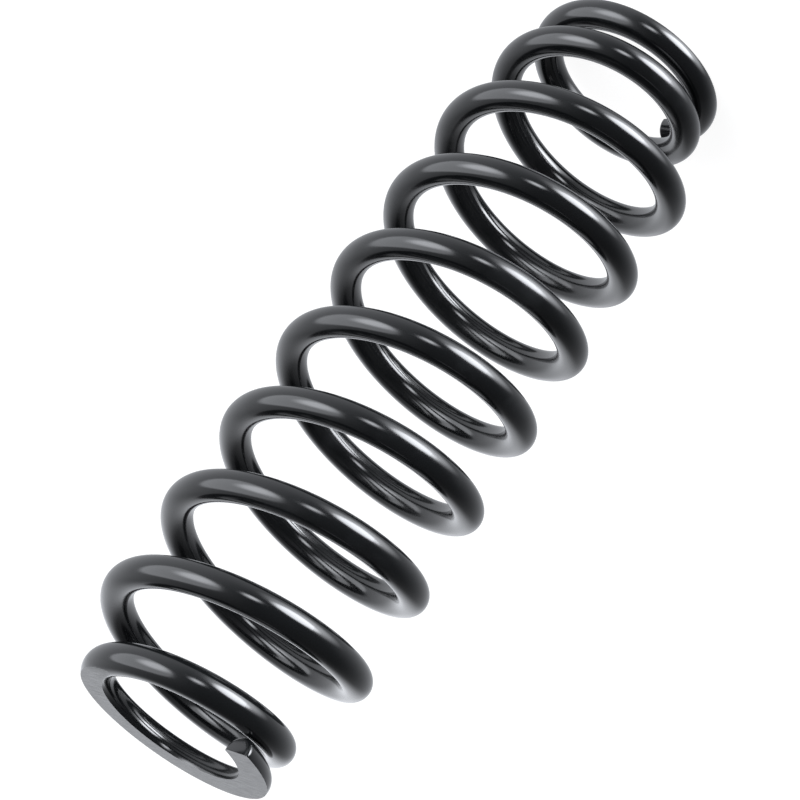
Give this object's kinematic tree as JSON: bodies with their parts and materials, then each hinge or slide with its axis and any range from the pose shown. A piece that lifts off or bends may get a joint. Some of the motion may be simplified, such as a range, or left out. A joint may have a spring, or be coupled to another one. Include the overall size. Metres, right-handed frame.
{
  "type": "coil compression spring",
  "caption": "Right-hand wound round-wire compression spring for a vehicle suspension, with closed, drawn-in and ground ends and a gloss black coat.",
  "frame": {"origin": "centre of the lower ground face, on the spring's axis", "axes": "+Z along the spring's axis from the lower to the upper ground face; +X towards the lower wire tip"},
  "size_m": [0.1014, 0.1014, 0.332],
  "materials": {
    "black_coat": "gloss black powder coat over shot-peened spring steel"
  },
  "bodies": {
    "lower_end": {"lower_end_coil": "black_coat"},
    "coil_01": {"coil_section_01": "black_coat"},
    "coil_02": {"coil_section_02": "black_coat"},
    "coil_03": {"coil_section_03": "black_coat"},
    "coil_04": {"coil_section_04": "black_coat"},
    "coil_05": {"coil_section_05": "black_coat"},
    "coil_06": {"coil_section_06": "black_coat"},
    "coil_07": {"coil_section_07": "black_coat"},
    "coil_08": {"coil_section_08": "black_coat"},
    "coil_09": {"coil_section_09": "black_coat"},
    "coil_10": {"coil_section_10": "black_coat"},
    "coil_11": {"coil_section_11": "black_coat"},
    "coil_12": {"coil_section_12": "black_coat"},
    "coil_13": {"coil_section_13": "black_coat"},
    "coil_14": {"coil_section_14": "black_coat"},
    "coil_15": {"coil_section_15": "black_coat"},
    "coil_16": {"coil_section_16": "black_coat"},
    "coil_17": {"coil_section_17": "black_coat"},
    "coil_18": {"coil_section_18": "black_coat"},
    "coil_19": {"coil_section_19": "black_coat"},
    "coil_20": {"coil_section_20": "black_coat"},
    "coil_21": {"coil_section_21": "black_coat"},
    "coil_22": {"coil_section_22": "black_coat"},
    "coil_23": {"coil_section_23": "black_coat"},
    "coil_24": {"coil_section_24": "black_coat"},
    "upper_end": {"upper_end_coil": "black_coat"}
  },
  "joints": [
    {"name": "coil_slide_01", "type": "slide", "parent": "lower_end", "child": "coil_01", "axis": [0, 0, -1], "range_m": [0, 0.00143], "stiffness_N_per_m": 4495700},
    {"name": "coil_slide_02", "type": "slide", "parent": "coil_01", "child": "coil_02", "axis": [0, 0, -1], "range_m": [0, 0.00469], "stiffness_N_per_m": 1370700},
    {"name": "compression", "type": "slide", "parent": "coil_02", "child": "coil_03", "axis": [0, 0, -1], "range_m": [0, 0.008], "stiffness_N_per_m": 803600},
    {"name": "coil_slide_04", "type": "slide", "parent": "coil_03", "child": "coil_04", "axis": [0, 0, -1], "range_m": [0, 0.008], "stiffness_N_per_m": 803600},
    {"name": "coil_slide_05", "type": "slide", "parent": "coil_04", "child": "coil_05", "axis": [0, 0, -1], "range_m": [0, 0.008], "stiffness_N_per_m": 803600},
    {"name": "coil_slide_06", "type": "slide", "parent": "coil_05", "child": "coil_06", "axis": [0, 0, -1], "range_m": [0, 0.00798], "stiffness_N_per_m": 805610},
    {"name": "coil_slide_07", "type": "slide", "parent": "coil_06", "child": "coil_07", "axis": [0, 0, -1], "range_m": [0, 0.008], "stiffness_N_per_m": 803600},
    {"name": "coil_slide_08", "type": "slide", "parent": "coil_07", "child": "coil_08", "axis": [0, 0, -1], "range_m": [0, 0.008], "stiffness_N_per_m": 803600},
    {"name": "coil_slide_09", "type": "slide", "parent": "coil_08", "child": "coil_09", "axis": [0, 0, -1], "range_m": [0, 0.00798], "stiffness_N_per_m": 805610},
    {"name": "coil_slide_10", "type": "slide", "parent": "coil_09", "child": "coil_10", "axis": [0, 0, -1], "range_m": [0, 0.008], "stiffness_N_per_m": 803600},
    {"name": "coil_slide_11", "type": "slide", "parent": "coil_10", "child": "coil_11", "axis": [0, 0, -1], "range_m": [0, 0.008], "stiffness_N_per_m": 803600},
    {"name": "coil_slide_12", "type": "slide", "parent": "coil_11", "child": "coil_12", "axis": [0, 0, -1], "range_m": [0, 0.00798], "stiffness_N_per_m": 805610},
    {"name": "coil_slide_13", "type": "slide", "parent": "coil_12", "child": "coil_13", "axis": [0, 0, -1], "range_m": [0, 0.00798], "stiffness_N_per_m": 805610},
    {"name": "coil_slide_14", "type": "slide", "parent": "coil_13", "child": "coil_14", "axis": [0, 0, -1], "range_m": [0, 0.008], "stiffness_N_per_m": 803600},
    {"name": "coil_slide_15", "type": "slide", "parent": "coil_14", "child": "coil_15", "axis": [0, 0, -1], "range_m": [0, 0.008], "stiffness_N_per_m": 803600},
    {"name": "coil_slide_16", "type": "slide", "parent": "coil_15", "child": "coil_16", "axis": [0, 0, -1], "range_m": [0, 0.00798], "stiffness_N_per_m": 805610},
    {"name": "coil_slide_17", "type": "slide", "parent": "coil_16", "child": "coil_17", "axis": [0, 0, -1], "range_m": [0, 0.008], "stiffness_N_per_m": 803600},
    {"name": "coil_slide_18", "type": "slide", "parent": "coil_17", "child": "coil_18", "axis": [0, 0, -1], "range_m": [0, 0.008], "stiffness_N_per_m": 803600},
    {"name": "coil_slide_19", "type": "slide", "parent": "coil_18", "child": "coil_19", "axis": [0, 0, -1], "range_m": [0, 0.00798], "stiffness_N_per_m": 805610},
    {"name": "coil_slide_20", "type": "slide", "parent": "coil_19", "child": "coil_20", "axis": [0, 0, -1], "range_m": [0, 0.008], "stiffness_N_per_m": 803600},
    {"name": "coil_slide_21", "type": "slide", "parent": "coil_20", "child": "coil_21", "axis": [0, 0, -1], "range_m": [0, 0.008], "stiffness_N_per_m": 803600},
    {"name": "coil_slide_22", "type": "slide", "parent": "coil_21", "child": "coil_22", "axis": [0, 0, -1], "range_m": [0, 0.00717], "stiffness_N_per_m": 896620},
    {"name": "coil_slide_23", "type": "slide", "parent": "coil_22", "child": "coil_23", "axis": [0, 0, -1], "range_m": [0, 0.008], "stiffness_N_per_m": 803600},
    {"name": "coil_slide_24", "type": "slide", "parent": "coil_23", "child": "coil_24", "axis": [0, 0, -1], "range_m": [0, 0.008], "stiffness_N_per_m": 803600},
    {"name": "coil_slide_25", "type": "slide", "parent": "coil_24", "child": "upper_end", "axis": [0, 0, -1], "range_m": [0, 0.00251], "stiffness_N_per_m": 2561300}
  ],
  "couplings": [
    {"joint": "coil_slide_01", "follows": "compression", "ratio": 0.17875},
    {"joint": "coil_slide_02", "follows": "compression", "ratio": 0.58625},
    {"joint": "coil_slide_04", "follows": "compression", "ratio": 1},
    {"joint": "coil_slide_05", "follows": "compression", "ratio": 1},
    {"joint": "coil_slide_06", "follows": "compression", "ratio": 0.9975},
    {"joint": "coil_slide_07", "follows": "compression", "ratio": 1},
    {"joint": "coil_slide_08", "follows": "compression", "ratio": 1},
    {"joint": "coil_slide_09", "follows": "compression", "ratio": 0.9975},
    {"joint": "coil_slide_10", "follows": "compression", "ratio": 1},
    {"joint": "coil_slide_11", "follows": "compression", "ratio": 1},
    {"joint": "coil_slide_12", "follows": "compression", "ratio": 0.9975},
    {"joint": "coil_slide_13", "follows": "compression", "ratio": 0.9975},
    {"joint": "coil_slide_14", "follows": "compression", "ratio": 1},
    {"joint": "coil_slide_15", "follows": "compression", "ratio": 1},
    {"joint": "coil_slide_16", "follows": "compression", "ratio": 0.9975},
    {"joint": "coil_slide_17", "follows": "compression", "ratio": 1},
    {"joint": "coil_slide_18", "follows": "compression", "ratio": 1},
    {"joint": "coil_slide_19", "follows": "compression", "ratio": 0.9975},
    {"joint": "coil_slide_20", "follows": "compression", "ratio": 1},
    {"joint": "coil_slide_21", "follows": "compression", "ratio": 1},
    {"joint": "coil_slide_22", "follows": "compression", "ratio": 0.89625},
    {"joint": "coil_slide_23", "follows": "compression", "ratio": 1},
    {"joint": "coil_slide_24", "follows": "compression", "ratio": 1},
    {"joint": "coil_slide_25", "follows": "compression", "ratio": 0.31375}
  ]
}
